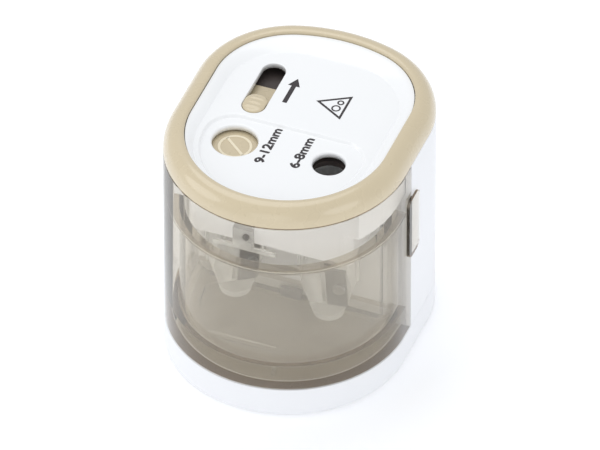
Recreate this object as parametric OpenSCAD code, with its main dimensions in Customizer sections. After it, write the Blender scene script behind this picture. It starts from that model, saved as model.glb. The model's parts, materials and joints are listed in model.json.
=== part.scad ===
/* [Body] */
// Overall width across the flat sides
body_w = 67.2; // [66:0.1:69]
// Overall depth from the round front to the back
body_d = 81; // [80:0.1:83]
// Width of the bezel, which is also how far the body stands out past the opening
bezel_w = 5.7; // [5.5:0.1:6.2]
// Corner radius of the opening at the back
corner_r = 22; // [20:0.5:23]
// Radius of the slightly bowed back of the opening
rear_r = 42; // [41:0.5:60]

/* [Heights] */
// How far the rubber feet lift the base
foot_lift = 0.6; // [0.4:0.1:0.8]
// Top of the base, where the drawer and the rear shell start
base_top = 9.2; // [9:0.1:9.6]
// Lower edge of the bezel
bezel_bottom = 66.3; // [66.2:0.1:66.6]
// Height of the bezel's inner edge
bezel_edge = 71.8; // [71.6:0.1:72.4]
// Depth of the panel's floor below the bezel's inner edge
dish_depth = 2.25; // [2:0.05:2.4]
// How much lower the area around the holes lies
hole_step = 0.85; // [0.6:0.05:0.9]

/* [Holes and cutters] */
// Distance between the two pencil holes
hole_gap = 27; // [26.6:0.1:27.4]
// Radius of the large pencil hole
large_hole_r = 6.25; // [6:0.05:6.3]
// Radius of the small pencil hole
small_hole_r = 4.45; // [4:0.05:4.5]
// Half the angle of the cone that a cutter gives a pencil
cone_angle = 14.1; // [13:0.1:15]
// Module of every gear, its pitch diameter over its teeth
gear_module = 0.6; // [0.6:0.1:0.6]

/* [Drawer and shutter] */
// Thickness of the drawer's wall
drawer_wall = 1.8; // [1.6:0.1:2]
// Height of the ledge inside the drawer
ledge_top = 49.6; // [49:0.1:50.5]
// How far the ledge reaches in from the wall
ledge_w = 3.6; // [3:0.1:3.8]
// Width of the slot that the shutter's knob moves in
slot_w = 6.6; // [6.4:0.1:7]
// Length of that slot
slot_len = 21.6; // [21.4:0.1:22]

/* [Hidden] */
$fn = 48;
wall = 2;
seam_y = -1.9;
gap = 0.2;
half_w = body_w / 2 - bezel_w;
front_cy = body_w / 2 - body_d / 2;
rear_y = body_d / 2 - bezel_w;
shell_in = bezel_w - wall;
frame_out = bezel_w - wall - 0.3;
// Heights of the levels inside, from the base's underside to the panel
base_skin = foot_lift + wall;
deck_z = 55.5;
deck_top = 57;
cover_z = 64.1;
cover_top = 65.5;
gear_front = -23.4;
low_gear_z = 57.4;
low_gear_h = 2.7;
high_gear_z = 60.5;
high_gear_h = 2.8;
floor_z = bezel_edge - dish_depth;
hole_z = floor_z - hole_step;
plate_z = 65.65;
plate_t = 0.8;
dish_t = 1.8;
hole_t = 2.1;
// Holes, cutters and gear train, seen from above
hole_x = hole_gap / 2;
hole_y = -11.5;
cutter_teeth = 30;
idler_teeth = 20;
small_teeth = 12;
big_teeth = 36;
pinion_teeth = 10;
function pitch_r(teeth) = teeth * gear_module / 2;
idler_dy = sqrt(pow(pitch_r(cutter_teeth + idler_teeth), 2) - pow(hole_x, 2));
idler_y = hole_y + idler_dy;
compound_y = idler_y + pitch_r(idler_teeth + small_teeth);
motor_y = compound_y + pitch_r(big_teeth + pinion_teeth);
// Each gear is turned so that its teeth meet the gaps of the one that drives it
function mesh_turn(a, n0, turn0, n1) = a + 180 - 180 / n1 + (a - turn0) * n0 / n1;
idler_side = atan2(idler_dy, hole_x);
idler_turn = mesh_turn(idler_side, cutter_teeth, 0, idler_teeth);
small_cutter_turn = mesh_turn(-idler_side, idler_teeth, idler_turn, cutter_teeth);
compound_turn = mesh_turn(90, idler_teeth, idler_turn, small_teeth);
pinion_turn = mesh_turn(90, big_teeth, 0, pinion_teeth);
axle_r = 1;
run = 0.05;
// Cutters
tube_r = 7.4;
cutter_r = 8.5;
cutter_top = 44;
cutter_bottom = 16.6;
tip_z = 19;
tip_r = 1;
apex_z = tip_z - tip_r / tan(cone_angle);
large_facing = 35;
small_facing = 10;
// Shutter and its slot
slot_x = -13.7;
slot_y0 = -0.2;
knob_w = 6.2;
knob_len = 7.8;
knob_y = slot_y0 + 0.1 + knob_len / 2;
shutter_r = 6.6;
// Battery bay and its door
cell_r = 7.15;
cell_len = 50.5;
cell_x = 15.5;
cell_ys = [11.2, 25.9];
cell_z = 4;
door_y = 4.2;
door_pin_y = 5.2;
door_pin_z = foot_lift + 1;
column_x = 27.4;
column_y = 1.1;
rear_column_y = 34.2;
cover_posts = [[26, -14], [-26, -14], [22, 15], [-22, 15]];
front_feet = [19, -22];
door_foot = [16, 28];
rail_x = 17;
// Drawer
tub_out = bezel_w - drawer_wall - ledge_w + 1.5;
foot_top = 16;
gate_top = 15.6;

// Points of an arc from angle a0 to angle a1, in n steps
function arc_pts(cx, cy, r, a0, a1, n) =
    [for (i = [0:n]) let (a = a0 + (a1 - a0) * i / n) [cx + r * cos(a), cy + r * sin(a)]];

// Outline with a half-round front of radius w, round rear corners and a bowed back
function outline(w, fy, rc, rr, yt) =
    let (ry = yt - rr, cx = w - rc, a = acos(cx / (rr - rc)), cy = ry + (rr - rc) * sin(a), da = (90 - a) / 4)
    concat(
        arc_pts(0, fy, w, 180, 360, 24),
        arc_pts(cx, cy, rc, 0, a, 9),
        arc_pts(0, ry, rr, a + da, 180 - a - da, 6),
        arc_pts(-cx, cy, rc, 180 - a, 180, 9));

// The body's outline, moved out by o from the bezel's opening
function plan(o) = outline(half_w + o, front_cy, corner_r + o, rear_r + o, rear_y + o);

// The dished panel's flat floor, which meets the bezel at the front
dish_w = half_w - 3.6;
dish_floor = outline(dish_w, front_cy - half_w + 0.4 + dish_w, 18, 50, rear_y - 6.5);

// The lower area around the holes, grown by o
function hole_area(o) = concat(
    arc_pts(0, -10.6, 22.6 + o, 180, 360, 24),
    arc_pts(14.6, -10.1, 8 + o, 0, 90, 6),
    arc_pts(-14.6, -10.1, 8 + o, 90, 180, 6));

// A rounded rectangle between two corners
function round_box(x0, y0, x1, y1, r) = concat(
    arc_pts(x0 + r, y0 + r, r, 180, 270, 5), arc_pts(x1 - r, y0 + r, r, 270, 360, 5),
    arc_pts(x1 - r, y1 - r, r, 0, 90, 5), arc_pts(x0 + r, y1 - r, r, 90, 180, 5));

// A long hole of width w with round ends, centred on x, from y0 to y1
function stadium(x, y0, y1, w) = concat(
    arc_pts(x, y0 + w / 2, w / 2, 180, 360, 16), arc_pts(x, y1 - w / 2, w / 2, 0, 180, 16));

function lift(points, z) = [for (p = points) [p[0], p[1], z]];
function blend(p, q, t) = [for (i = [0:len(p) - 1]) p[i] * (1 - t) + q[i] * t];

module slab(points, z0, z1) {
    translate([0, 0, z0])
        linear_extrude(z1 - z0)
            polygon(points);
}

// Wall between two outlines
module band(outer, inner, z0, z1) {
    difference() {
        slab(outer, z0, z1);
        slab(inner, z0 - 1, z1 + 1);
    }
}

module box(a, b) {
    translate(a)
        cube(b - a);
}

module rod(x, y, r, z0, z1) {
    translate([x, y, z0])
        cylinder(h = z1 - z0, r = r);
}

// Everything in front of y, or behind it
module front_of(y) {
    box([-60, -60, -5], [60, y, 90]);
}

module behind(y) {
    box([-60, y, -5], [60, 60, 90]);
}

// Faces between rings of points, each ring with the same number of points
function skin(m, n, closed) =
    [for (i = [0:m - (closed ? 1 : 2)], j = [0:n - 1])
        let (a = i * n + j, b = i * n + (j + 1) % n, c = (i + 1) % m * n + (j + 1) % n, d = (i + 1) % m * n + j)
        each [[a, c, b], [a, d, c]]];

// Closed solid through a stack of rings, with a flat face on the first and the last
module stack(rings) {
    m = len(rings);
    n = len(rings[0]);
    caps = [[for (j = [0:n - 1]) j], [for (j = [n - 1:-1:0]) (m - 1) * n + j]];
    polyhedron([for (r = rings) each r], concat(skin(m, n, false), caps));
}

// Ring-shaped solid, whose last ring of points joins the first
module loop_stack(rings) {
    polyhedron([for (r = rings) each r], skin(len(rings), len(rings[0]), true));
}

// Spur gear with 25 degree involute flanks and short teeth, one tooth at angle turn
function involute(rb, r) = let (a = acos(min(1, rb / r))) tan(a) * 180 / PI - a;

module gear_blank(teeth, turn, z0, h) {
    rp = pitch_r(teeth);
    rb = rp * cos(25);
    root = rp - 1.05 * gear_module;
    tip = rp + 0.8 * gear_module;
    half = 90 / teeth - 0.06 / rp * 180 / PI + involute(rb, rp);
    radii = [root, max(rb, root + 0.05), rp, tip];
    translate([0, 0, z0])
        rotate([0, 0, turn])
            linear_extrude(h)
                polygon([for (t = [0:teeth - 1]) let (a = t * 360 / teeth) each concat(
                    [for (r = radii) let (d = half - involute(rb, r)) r * [cos(a - d), sin(a - d)]],
                    [for (i = [3:-1:0]) let (r = radii[i], d = half - involute(rb, r))
                        r * [cos(a + d), sin(a + d)]])]);
}

module gear(teeth, turn, z0, h, bore) {
    difference() {
        gear_blank(teeth, turn, z0, h);
        rod(0, 0, bore, z0 - 1, z0 + h + 1);
    }
}

module screw(x, y, head_z, head_r, head_h, shank_r, length) {
    up = sign(length);
    translate([x, y, head_z])
        rotate([up > 0 ? 0 : 180, 0, 0])
            difference() {
                union() {
                    cylinder(h = head_h, r = head_r);
                    translate([0, 0, head_h])
                        cylinder(h = abs(length) - head_h, r = shank_r);
                }
                for (a = [0, 90])
                    rotate([0, 0, a])
                        box([-head_r * 0.65, -0.25, -1], [head_r * 0.65, 0.25, head_h * 0.5]);
            }
}

module base_tray() {
    color([0.94, 0.95, 0.96])
        difference() {
            union() {
                band(plan(bezel_w), plan(shell_in), foot_lift, base_top);
                difference() {
                    slab(plan(shell_in + 0.5), foot_lift, base_skin);
                    intersection() {
                        slab(plan(2.9), foot_lift - 1, base_skin + 1);
                        behind(door_y - 0.5);
                    }
                }
                difference() {
                    slab(plan(shell_in + 0.5), base_top - wall, base_top);
                    behind(0.3);
                }
                for (s = [-1, 1]) {
                    rod(s * column_x, column_y, 2.8, foot_lift + 1.5, base_top);
                    box([s * rail_x - 1, -14, base_top - 1.5], [s * rail_x + 1, -4, base_top + 1]);
                }
            }
            difference() {
                slab(round_box(-24.5, -17, 24.5, -2.5, 5), base_top - 1, base_top + 2);
                for (s = [-1, 1])
                    box([s * rail_x - 1, -14, 0], [s * rail_x + 1, -4, 20]);
            }
            for (s = [-1, 1]) {
                rod(s * column_x, column_y, 2.7, foot_lift - 1, foot_lift + 1.2);
                rod(s * column_x, column_y, 1.25, foot_lift, base_top + 1);
                rod(s * front_feet[0], front_feet[1], 4, foot_lift - 1, foot_lift + 0.8);
                translate([s * (half_w + 3.4), door_pin_y, door_pin_z])
                    rotate([0, 90, 0])
                        cylinder(h = 2, r = 0.76, center = true);
            }
        }
}

module foot(x, y) {
    rod(x, y, 3.9, 0, foot_lift + 0.8);
}

module rubber_feet() {
    color([0.2, 0.2, 0.21])
        for (s = [-1, 1])
            foot(s * front_feet[0], front_feet[1]);
}

module base_screws() {
    color([0.7, 0.71, 0.72])
        for (s = [-1, 1])
            screw(s * column_x, column_y, foot_lift + 0.1, 2.4, 1.1, 1.1, 14);
}

module battery_door() {
    color([0.9, 0.91, 0.92])
        difference() {
            union() {
                intersection() {
                    slab(plan(2.6), foot_lift, base_skin);
                    behind(door_y);
                }
                for (s = [-1, 1])
                    translate([s * (half_w + 3.2), door_pin_y, door_pin_z])
                        rotate([0, 90, 0])
                            cylinder(h = 1.8, r = 0.7, center = true);
            }
            for (s = [-1, 1])
                rod(s * door_foot[0], door_foot[1], 4, foot_lift - 1, foot_lift + 0.8);
            box([-6, 34.5, foot_lift - 1], [6, 36, foot_lift + 0.8]);
        }
}

module door_feet() {
    color([0.2, 0.2, 0.21])
        for (s = [-1, 1])
            foot(s * door_foot[0], door_foot[1]);
}

// A bridge between two cells, with a raised seat under each
module bridge(s, z, up) {
    edge = s * cell_x;
    box([edge - 5, 7, min(z, z + up * 0.3)], [edge + 5, 30, max(z, z + up * 0.3)]);
    for (y = cell_ys)
        rod(edge, y, 3, min(z, z + up * 1.35), max(z, z + up * 1.35));
}

module door_contacts() {
    color([0.78, 0.78, 0.75])
        for (s = [-1, 1])
            bridge(s, base_skin, 1);
}

module battery_cells() {
    color([0.25, 0.27, 0.3])
        for (s = [-1, 1], i = [0, 1]) {
            down = (s > 0) == (i == 0);
            z0 = cell_z + (down ? 1 : 0);
            rod(s * cell_x, cell_ys[i], cell_r, z0, z0 + cell_len - 1);
            rod(s * cell_x, cell_ys[i], 2.7, cell_z, cell_z + cell_len);
        }
}

module top_contacts() {
    color([0.78, 0.78, 0.75])
        for (s = [-1, 1]) {
            box([s * cell_x - 5, 5, deck_z - 0.9], [s * cell_x + 5, 32, deck_z - 0.6]);
            box([s * cell_x - 2, 16, deck_z - 0.7], [s * cell_x + 2, 20, deck_z]);
        }
}

module rear_shell() {
    color([0.94, 0.95, 0.96])
        difference() {
            union() {
                difference() {
                    band(plan(bezel_w), plan(shell_in), base_top, bezel_bottom);
                    front_of(seam_y);
                }
                for (s = [-1, 1]) {
                    rod(s * column_x, column_y, 2.8, base_top, deck_z);
                    box([min(s * column_x, s * 32.6), 0.1, base_top], [max(s * column_x, s * 32.6), 2.1, deck_z]);
                }
                rod(0, rear_column_y, 2.8, base_top, deck_z);
                box([-1, rear_column_y, base_top], [1, rear_y + 4.5, deck_z]);
            }
            for (s = [-1, 1])
                rod(s * column_x, column_y, 1.1, base_top - 1, deck_z + 1);
            rod(0, rear_column_y, 1.1, deck_z - 14, deck_z + 1);
        }
}

module partition() {
    color([0.92, 0.93, 0.94])
        box([-24.5, -1.7, base_top], [24.5, 0.3, deck_z]);
}

module reed_switch() {
    color([0.13, 0.13, 0.14])
        box([-6.4, 0.3, 11], [6.4, 4.2, 16.5]);
}

module housing_screws() {
    color([0.7, 0.71, 0.72]) {
        for (s = [-1, 1])
            screw(s * column_x, column_y, deck_top + 1.3, 2.2, 1.3, 1.1, -12);
        screw(0, rear_column_y, deck_top + 1.3, 2.2, 1.3, 1.1, -12);
    }
}

// The flattened round outline of the motor, r across the round sides and w across the flats
module motor_slab(r, w, z0, z1) {
    intersection() {
        rod(0, motor_y, r, z0, z1);
        box([-w / 2, motor_y - 2 * r, z0 - 1], [w / 2, motor_y + 2 * r, z1 + 1]);
    }
}

motor_top = deck_z;
motor_bottom = deck_z - 25;

module motor_can() {
    color([0.75, 0.76, 0.77])
        difference() {
            union() {
                motor_slab(10.05, 15.1, motor_bottom, motor_top);
                rod(0, motor_y, 3, motor_top - 0.5, motor_top + 1.4);
            }
            motor_slab(9.35, 13.7, motor_bottom - 1, motor_top - 1);
            rod(0, motor_y, axle_r + run, motor_bottom, motor_top + 2);
            for (s = [-1, 1])
                rod(0, motor_y + s * 7, 0.9, motor_top - 2, motor_top + 1);
        }
}

module motor_magnets() {
    color([0.3, 0.29, 0.29])
        intersection() {
            difference() {
                motor_slab(9.3, 13.2, motor_bottom + 3, motor_top - 3);
                rod(0, motor_y, 6.7, motor_bottom, motor_top);
            }
            union() {
                box([-20, motor_y + 3, 0], [20, motor_y + 20, 90]);
                box([-20, motor_y - 20, 0], [20, motor_y - 3, 90]);
            }
        }
}

module motor_armature() {
    color([0.72, 0.42, 0.25])
        translate([0, motor_y, 0])
            difference() {
                union() {
                    rotate_extrude()
                        polygon([[0, motor_bottom + 1], [2.4, motor_bottom + 1], [2.4, motor_bottom + 7],
                            [4.6, motor_bottom + 7], [4.6, motor_top - 7], [0, motor_top - 7]]);
                    for (a = [0:120:240])
                        rotate([0, 0, a])
                            box([-2, 3, motor_bottom + 8], [2, 6, motor_top - 8]);
                }
                rod(0, 0, axle_r, motor_bottom, motor_top);
            }
}

module motor_end_cap() {
    color([0.9, 0.9, 0.86])
        difference() {
            motor_slab(10.05, 15.1, motor_bottom - 2.5, motor_bottom);
            rod(0, motor_y, axle_r + run, motor_bottom - 2, motor_bottom + 1);
        }
}

module motor_terminals() {
    color([0.82, 0.66, 0.4])
        for (s = [-1, 1])
            box([s * 5 - 1.1, motor_y - 0.25, motor_bottom - 6], [s * 5 + 1.1, motor_y + 0.25, motor_bottom - 2.5]);
}

module motor_screws() {
    color([0.7, 0.71, 0.72])
        for (s = [-1, 1])
            screw(0, motor_y + s * 7, deck_top + 0.9, 1.7, 0.9, 0.9, -3.9);
}

module motor_shaft() {
    color([0.8, 0.81, 0.82])
        rod(0, motor_y, axle_r, motor_bottom - 1.9, high_gear_z + high_gear_h);
}

module motor_pinion() {
    color([0.8, 0.65, 0.3])
        translate([0, motor_y, 0])
            gear(pinion_teeth, pinion_turn, high_gear_z, high_gear_h, axle_r);
}

module compound_gear() {
    color([0.95, 0.95, 0.92])
        translate([0, compound_y, 0])
            difference() {
                union() {
                    gear_blank(small_teeth, compound_turn, low_gear_z, high_gear_z - low_gear_z);
                    rod(0, 0, 2.6, low_gear_z + 1, high_gear_z + 1);
                    gear_blank(big_teeth, 0, high_gear_z, high_gear_h);
                }
                rod(0, 0, axle_r + run, low_gear_z - 1, high_gear_z + high_gear_h + 1);
            }
}

module compound_axle() {
    color([0.8, 0.81, 0.82])
        rod(0, compound_y, axle_r, deck_z, cover_top - 0.3);
}

module idler_gear() {
    color([0.95, 0.95, 0.92])
        translate([0, idler_y, 0])
            gear(idler_teeth, idler_turn, low_gear_z, low_gear_h, axle_r + run);
}

module idler_axle() {
    color([0.8, 0.81, 0.82])
        rod(0, idler_y, axle_r, deck_z, low_gear_z + low_gear_h + 0.1);
}

module gear_housing() {
    color([0.93, 0.94, 0.95])
        difference() {
            union() {
                slab(plan(frame_out), deck_z, deck_top);
                band(plan(frame_out), plan(frame_out - 1.5), deck_top - 0.5, cover_z);
                box([-26.4, gear_front, deck_top - 0.5], [26.4, gear_front + 1.5, cover_z]);
                for (p = cover_posts)
                    rod(p[0], p[1], 2.2, deck_top - 0.5, cover_z);
            }
            front_of(gear_front);
            for (s = [-1, 1]) {
                rod(s * hole_x, hole_y, tube_r + 0.06, deck_z - 1, deck_top + 1);
                rod(s * column_x, column_y, 1.25, deck_z - 1, deck_top + 1);
                rod(0, motor_y + s * 7, 1, deck_z - 1, deck_top + 1);
            }
            rod(0, rear_column_y, 1.25, deck_z - 1, deck_top + 1);
            rod(0, motor_y, 3.1, deck_z - 1, deck_top + 1);
            for (y = [idler_y, compound_y])
                rod(0, y, axle_r, deck_z - 1, deck_top + 1);
            for (p = cover_posts)
                rod(p[0], p[1], 0.9, cover_z - 6, cover_z + 1);
        }
}

// Skirt round the tops of both cutters, with the sleeves that they turn in
module cutter_hood() {
    color([0.93, 0.94, 0.95])
        difference() {
            union() {
                for (s = [-1, 1])
                    rod(s * hole_x, hole_y, 9.2, cutter_top + 0.2, deck_z);
                difference() {
                    slab(round_box(-23.8, -22, 23.8, 6, 3), 43.4, deck_z);
                    slab(round_box(-22.4, -20.6, 22.4, 4, 1.6), 42, deck_z + 1);
                    behind(seam_y);
                }
            }
            for (s = [-1, 1])
                rod(s * hole_x, hole_y, tube_r + 0.06, cutter_top, deck_z + 1);
        }
}

module gear_cover() {
    color([0.2, 0.18, 0.18])
        difference() {
            slab(plan(frame_out), cover_z, cover_top);
            front_of(gear_front);
            rod(-hole_x, hole_y, large_hole_r + 0.2, cover_z - 1, cover_top + 1);
            rod(hole_x, hole_y, small_hole_r + 0.2, cover_z - 1, cover_top + 1);
            rod(0, compound_y, axle_r, cover_z - 1, cover_top + 1);
            for (p = cover_posts) {
                rod(p[0], p[1], 1, cover_z - 1, cover_top + 1);
                rod(p[0], p[1], 2, cover_z + 0.4, cover_top + 1);
            }
        }
}

module cover_screws() {
    color([0.7, 0.71, 0.72])
        for (p = cover_posts)
            screw(p[0], p[1], cover_top - 0.1, 1.9, 0.9, 0.9, -6.6);
}

module start_contacts() {
    color([0.83, 0.7, 0.45]) {
        box([-3, -19.4, 45], [3, -19.1, deck_z]);
        box([-3, -18.2, 46.5], [3, -17.9, deck_z]);
        box([-3.6, -20.6, 52], [3.6, -17.4, deck_z]);
    }
}

module drawer_catch() {
    color([0.85, 0.86, 0.84]) {
        box([-9.7, -23.4, 41.5], [-4, -22, 48.5]);
        box([-15.6, -23, 41], [2.4, -22.2, 42.2]);
    }
}

module catch_screw() {
    color([0.1, 0.1, 0.1])
        translate([-5.7, -23.4, 46.4])
            rotate([90, 0, 0])
                cylinder(h = 0.7, r = 0.9);
}

// Rotating holder with a conical seat for the pencil's point, cut away on one side for the blade
module carrier(x, bore, facing) {
    cone_top = apex_z + bore / tan(cone_angle);
    translate([x, hole_y, 0])
        rotate([0, 0, facing])
            difference() {
                union() {
                    rotate_extrude()
                        polygon([[0, cutter_bottom], [4.3, cutter_bottom], [7.7, 28.5], [7.7, 42.2],
                            [cutter_r, 42.2], [cutter_r, cutter_top], [tube_r, cutter_top], [tube_r, cover_z - 0.2],
                            [bore, cover_z - 0.2], [bore, cone_top], [tip_r, tip_z], [0, tip_z]]);
                    for (a = [45:45:315])
                        rotate([0, 0, a - 90])
                            box([7, -0.6, 28.6], [cutter_r - 0.1, 0.6, 42.4]);
                }
                on_facet() {
                    box([-9, -9, 5], [9, 0, 27]);
                    box([-1.4, -1, 6], [0, 2, 24]);
                    translate([3.6, 3, 13.5])
                        rotate([90, 0, 0])
                            cylinder(h = 4, r = 0.9);
                }
            }
}

// Frame on the flat that touches the cone: z runs up the cone's side and -y points out
module on_facet() {
    translate([0, 0, apex_z])
        rotate([cone_angle, 0, 0])
            children();
}

module blade(x, facing) {
    color([0.62, 0.63, 0.65])
        translate([x, hole_y, 0])
            rotate([0, 0, facing])
                on_facet()
                    difference() {
                        box([0, -0.5, 5.5], [5.6, 0, 22]);
                        translate([3.6, 1, 13.5])
                            rotate([90, 0, 0])
                                cylinder(h = 2, r = 0.95);
                    }
}

module blade_screw(x, facing) {
    color([0.55, 0.56, 0.58])
        translate([x, hole_y, 0])
            rotate([0, 0, facing])
                on_facet()
                    translate([3.6, -0.5, 13.5]) {
                        rotate([90, 0, 0])
                            cylinder(h = 0.8, r = 1.7);
                        rotate([-90, 0, 0])
                            cylinder(h = 2.6, r = 0.9);
                    }
}

module large_carrier() {
    color([0.86, 0.88, 0.88])
        carrier(-hole_x, large_hole_r + 0.15, large_facing);
}

module small_carrier() {
    color([0.86, 0.88, 0.88])
        carrier(hole_x, small_hole_r + 0.15, small_facing);
}

module large_carrier_gear() {
    color([0.95, 0.95, 0.92])
        translate([-hole_x, hole_y, 0])
            gear(cutter_teeth, 0, low_gear_z, low_gear_h, tube_r);
}

module small_carrier_gear() {
    color([0.95, 0.95, 0.92])
        translate([hole_x, hole_y, 0])
            gear(cutter_teeth, small_cutter_turn, low_gear_z, low_gear_h, tube_r);
}

module large_blade() {
    blade(-hole_x, large_facing);
}

module small_blade() {
    blade(hole_x, small_facing);
}

module large_blade_screw() {
    blade_screw(-hole_x, large_facing);
}

module small_blade_screw() {
    blade_screw(hole_x, small_facing);
}

module shutter_plate() {
    color([0.8, 0.74, 0.62])
        slab(concat(
            arc_pts(-hole_x, hole_y, shutter_r, 180, 360, 24),
            [[-hole_x + shutter_r, 14.5], [-hole_x - shutter_r, 14.5]]), plate_z, plate_z + plate_t);
}

module shutter_knob() {
    color([0.84, 0.78, 0.66]) {
        slab(stadium(slot_x, knob_y - knob_len / 2, knob_y + knob_len / 2, knob_w),
            plate_z + plate_t, floor_z + 0.5);
        for (i = [-1:1])
            box([slot_x - 2, knob_y + i * 1.8 - 0.35, floor_z], [slot_x + 2, knob_y + i * 1.8 + 0.35, floor_z + 0.9]);
    }
}

module top_panel() {
    steps = 6;
    rim = plan(-0.2);
    rim_z = bezel_edge - 0.5;
    flange = plan(1.7);
    flange_z = bezel_edge - 2.2;
    color([0.97, 0.98, 0.98])
        difference() {
            union() {
                stack(concat(
                    [lift(dish_floor, floor_z - dish_t), lift(plan(0.1), flange_z), lift(plan(0.1), cover_top),
                        lift(plan(1.4), cover_top), lift(plan(1.4), flange_z), lift(flange, flange_z),
                        lift(flange, bezel_edge - 1), lift(rim, bezel_edge - 1)],
                    [for (i = [0:steps]) let (t = i / steps)
                        lift(blend(rim, dish_floor, t), floor_z + (rim_z - floor_z) * cos(90 * t))]));
                slab(hole_area(0.9), hole_z - hole_t, floor_z - 0.4);
                for (s = [-1, 1])
                    box([-hole_x + s * 7.2 - 0.4, -6, cover_top + 0.1], [-hole_x + s * 7.2 + 0.4, 18, floor_z - 1]);
            }
            slab(hole_area(0), hole_z, floor_z + 1);
            rod(-hole_x, hole_y, large_hole_r, hole_z - 4, hole_z + 1);
            rod(hole_x, hole_y, small_hole_r, hole_z - 4, hole_z + 1);
            slab(stadium(slot_x, slot_y0, slot_y0 + slot_len, slot_w), hole_z - 4, floor_z + 1);
        }
}

module bezel_ring() {
    steps = 8;
    crest = 1.2;
    color([0.84, 0.78, 0.66])
        loop_stack(concat(
            [for (i = [0:steps]) let (a = 90 * i / steps)
                lift(plan(crest + (bezel_w - crest) * cos(a)),
                    bezel_bottom + (bezel_edge + 0.5 - bezel_bottom) * sin(a))],
            [lift(plan(0.35), bezel_edge + 0.35), lift(plan(0), bezel_edge), lift(plan(0), bezel_edge - 0.8)],
            [for (i = [steps:-1:0]) let (a = 90 * i / steps)
                lift(plan(crest + (shell_in - crest) * cos(a)),
                    bezel_bottom + (bezel_edge - 0.9 - bezel_bottom) * sin(a))]));
}

// Outer front of the drawer, with a solid foot under its wall
module drawer() {
    color([0.72, 0.68, 0.6, 0.5])
        difference() {
            union() {
                band(plan(bezel_w), plan(bezel_w - drawer_wall), base_top + gap, bezel_bottom - gap);
                band(plan(bezel_w - 0.6), plan(tub_out + 0.1), base_top + gap, foot_top);
            }
            behind(seam_y - gap);
        }
}

// Inner tray that catches the shavings, hung from a rim inside the drawer's wall
module shavings_tub() {
    color([0.78, 0.76, 0.7, 0.5])
        difference() {
            union() {
                band(plan(tub_out), plan(tub_out - 1.5), base_top + 1, ledge_top);
                band(plan(bezel_w - drawer_wall), plan(tub_out - 1.5), ledge_top - 1, ledge_top);
                slab(plan(tub_out), base_top + gap, base_top + wall);
            }
            behind(seam_y - gap);
            for (s = [-1, 1])
                box([s * rail_x - 1.3, -14.4, base_top - 1], [s * rail_x + 1.3, 0, base_top + 1.3]);
        }
}

// Low gate that keeps the shavings in when the drawer is out
module rear_gate() {
    color([0.78, 0.76, 0.7, 0.5])
        box([-28, seam_y - 2, base_top + wall], [28, seam_y - gap, gate_top]);
}

module drawer_grips() {
    color([0.6, 0.52, 0.42, 0.8])
        for (s = [-1, 1])
            mirror([s < 0 ? 1 : 0, 0, 0])
                difference() {
                    translate([body_w / 2, 0, 0])
                        rotate([90, 0, 90])
                            linear_extrude(0.9)
                                polygon(round_box(-5.5, 36, 2.2, 56, 2));
                    box([body_w / 2 - 1, seam_y - gap, 30], [body_w / 2 + 0.25, 5, 60]);
                }
}

module drawer_magnet() {
    color([0.3, 0.3, 0.31])
        box([-3, -5.1, 11.2], [3, -3.9, 14.5]);
}

base_tray();
rubber_feet();
base_screws();
battery_door();
door_feet();
door_contacts();
battery_cells();
top_contacts();
rear_shell();
partition();
reed_switch();
housing_screws();
motor_can();
motor_magnets();
motor_armature();
motor_end_cap();
motor_terminals();
motor_screws();
motor_shaft();
motor_pinion();
compound_gear();
compound_axle();
idler_gear();
idler_axle();
gear_housing();
cutter_hood();
gear_cover();
cover_screws();
start_contacts();
drawer_catch();
catch_screw();
large_carrier();
large_carrier_gear();
large_blade();
large_blade_screw();
small_carrier();
small_carrier_gear();
small_blade();
small_blade_screw();
shutter_plate();
shutter_knob();
top_panel();
bezel_ring();
drawer();
shavings_tub();
rear_gate();
drawer_grips();
drawer_magnet();
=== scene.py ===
import json
import math

import bmesh
import bpy
import numpy as np
from bpy.props import FloatProperty, FloatVectorProperty, PointerProperty
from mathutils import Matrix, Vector
from mathutils.geometry import tessellate_polygon


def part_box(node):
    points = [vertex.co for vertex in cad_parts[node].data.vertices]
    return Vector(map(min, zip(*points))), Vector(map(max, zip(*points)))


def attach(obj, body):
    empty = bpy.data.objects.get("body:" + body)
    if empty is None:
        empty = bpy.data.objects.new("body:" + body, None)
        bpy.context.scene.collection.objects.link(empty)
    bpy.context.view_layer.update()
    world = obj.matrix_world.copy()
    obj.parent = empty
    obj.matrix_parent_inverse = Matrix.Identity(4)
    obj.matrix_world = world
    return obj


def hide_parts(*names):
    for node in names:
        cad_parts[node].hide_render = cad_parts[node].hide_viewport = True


bl_info = {
    "name": "Pencil sharpener finish",
    "version": (1, 0, 0),
    "blender": (4, 5, 0),
    "location": "3D view > Sidebar > Sharpener",
    "description": "Adds the smooth casings, markings, finishes and studio of a desk pencil sharpener",
    "category": "Object",
}

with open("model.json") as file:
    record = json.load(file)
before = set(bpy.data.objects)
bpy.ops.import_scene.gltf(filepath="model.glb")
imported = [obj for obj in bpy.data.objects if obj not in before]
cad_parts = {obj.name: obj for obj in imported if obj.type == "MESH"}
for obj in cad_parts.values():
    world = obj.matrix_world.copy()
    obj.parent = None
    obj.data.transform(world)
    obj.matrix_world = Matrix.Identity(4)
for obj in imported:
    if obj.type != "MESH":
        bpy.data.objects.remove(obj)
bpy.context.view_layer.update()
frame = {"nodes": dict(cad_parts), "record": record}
NODES = frame["nodes"]
MM = 0.001
# The lens is short enough that the camera stays within a hundred of the object's radii.
CAMERA_LENS = 1000
CAMERA_DISTANCE = 12.0 * 1000 / 2700
CAMERA_TURN = 20.95
CAMERA_TILT = 40.8


def linear(code):
    """Linear RGB of an sRGB hex colour."""
    parts = [int(code[i : i + 2], 16) / 255 for i in (1, 3, 5)]
    return tuple(p / 12.92 if p <= 0.04045 else ((p + 0.055) / 1.055) ** 2.4 for p in parts)


def low(node):
    """Lowest corner of a CAD node, in millimetres."""
    return np.array(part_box(node)[0]) * 1000


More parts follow.
